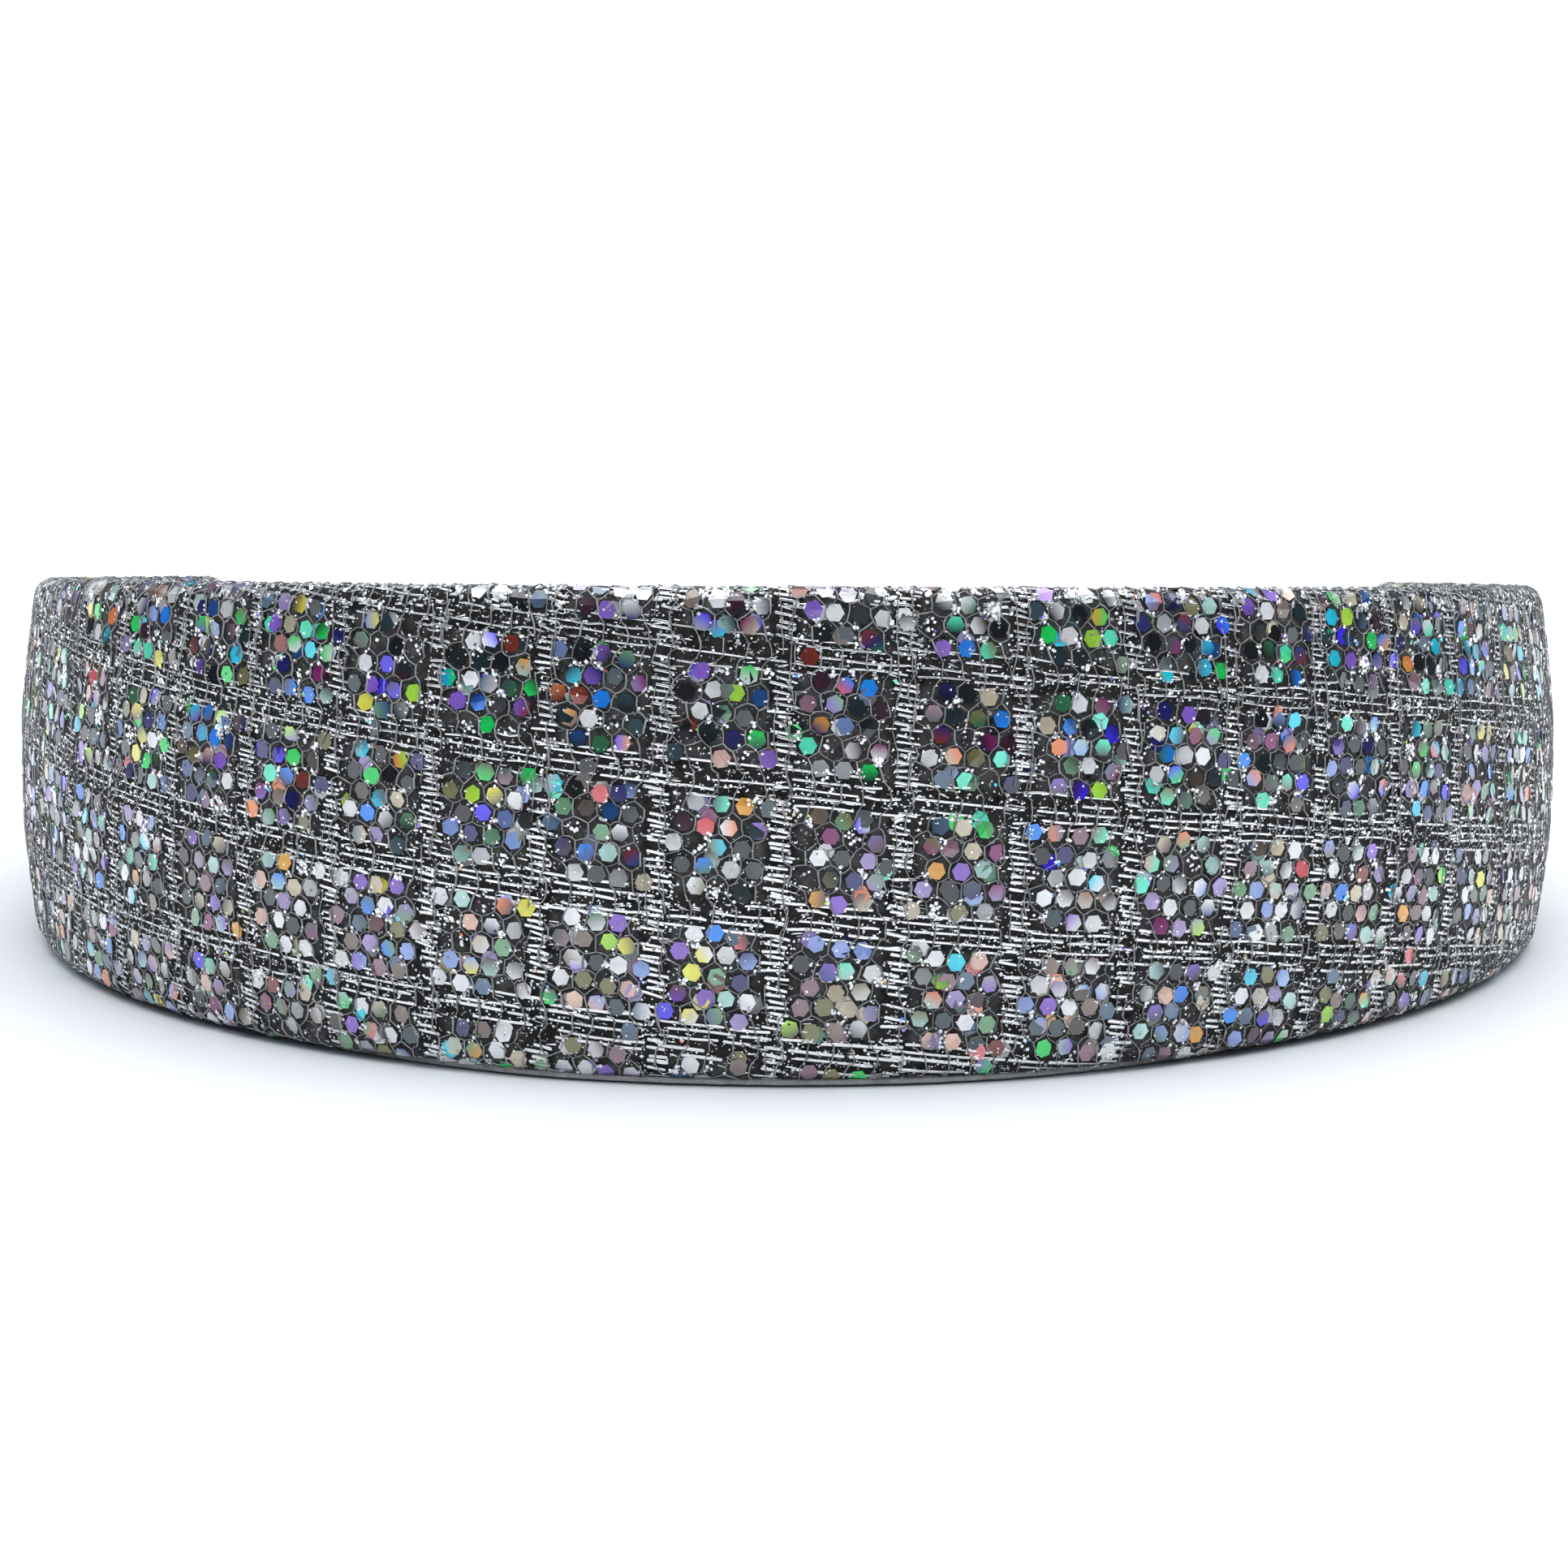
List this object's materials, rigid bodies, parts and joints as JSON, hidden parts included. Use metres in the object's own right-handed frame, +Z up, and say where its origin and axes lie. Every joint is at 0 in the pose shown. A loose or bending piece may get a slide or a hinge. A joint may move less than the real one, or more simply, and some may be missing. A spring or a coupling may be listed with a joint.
{
  "type": "glitter cloth headband",
  "caption": "Wide curved headband, open at the back, covered in glitter cloth with rolled edges and lined with felt; it springs over a head and holds hair back.",
  "frame": {"origin": "on the resting surface, below the middle of the band's width and depth", "axes": "+X to the wearer's left across the band, -Y out through the middle of the crown, +Z up from the lower edge to the upper edge"},
  "size_m": [0.1392, 0.1332, 0.0396],
  "materials": {
    "glitter_cloth": "charcoal glitter ground cloth under flakes, tinsel and net",
    "felt": "grey felt, fuzzy",
    "flake_foil": "holographic foil in flat flakes, mirror bright",
    "tinsel": "silver metallised thread",
    "net": "fine translucent tulle"
  },
  "bodies": {
    "root": {"cover": "glitter_cloth", "lining": "felt"}
  },
  "joints": []
}
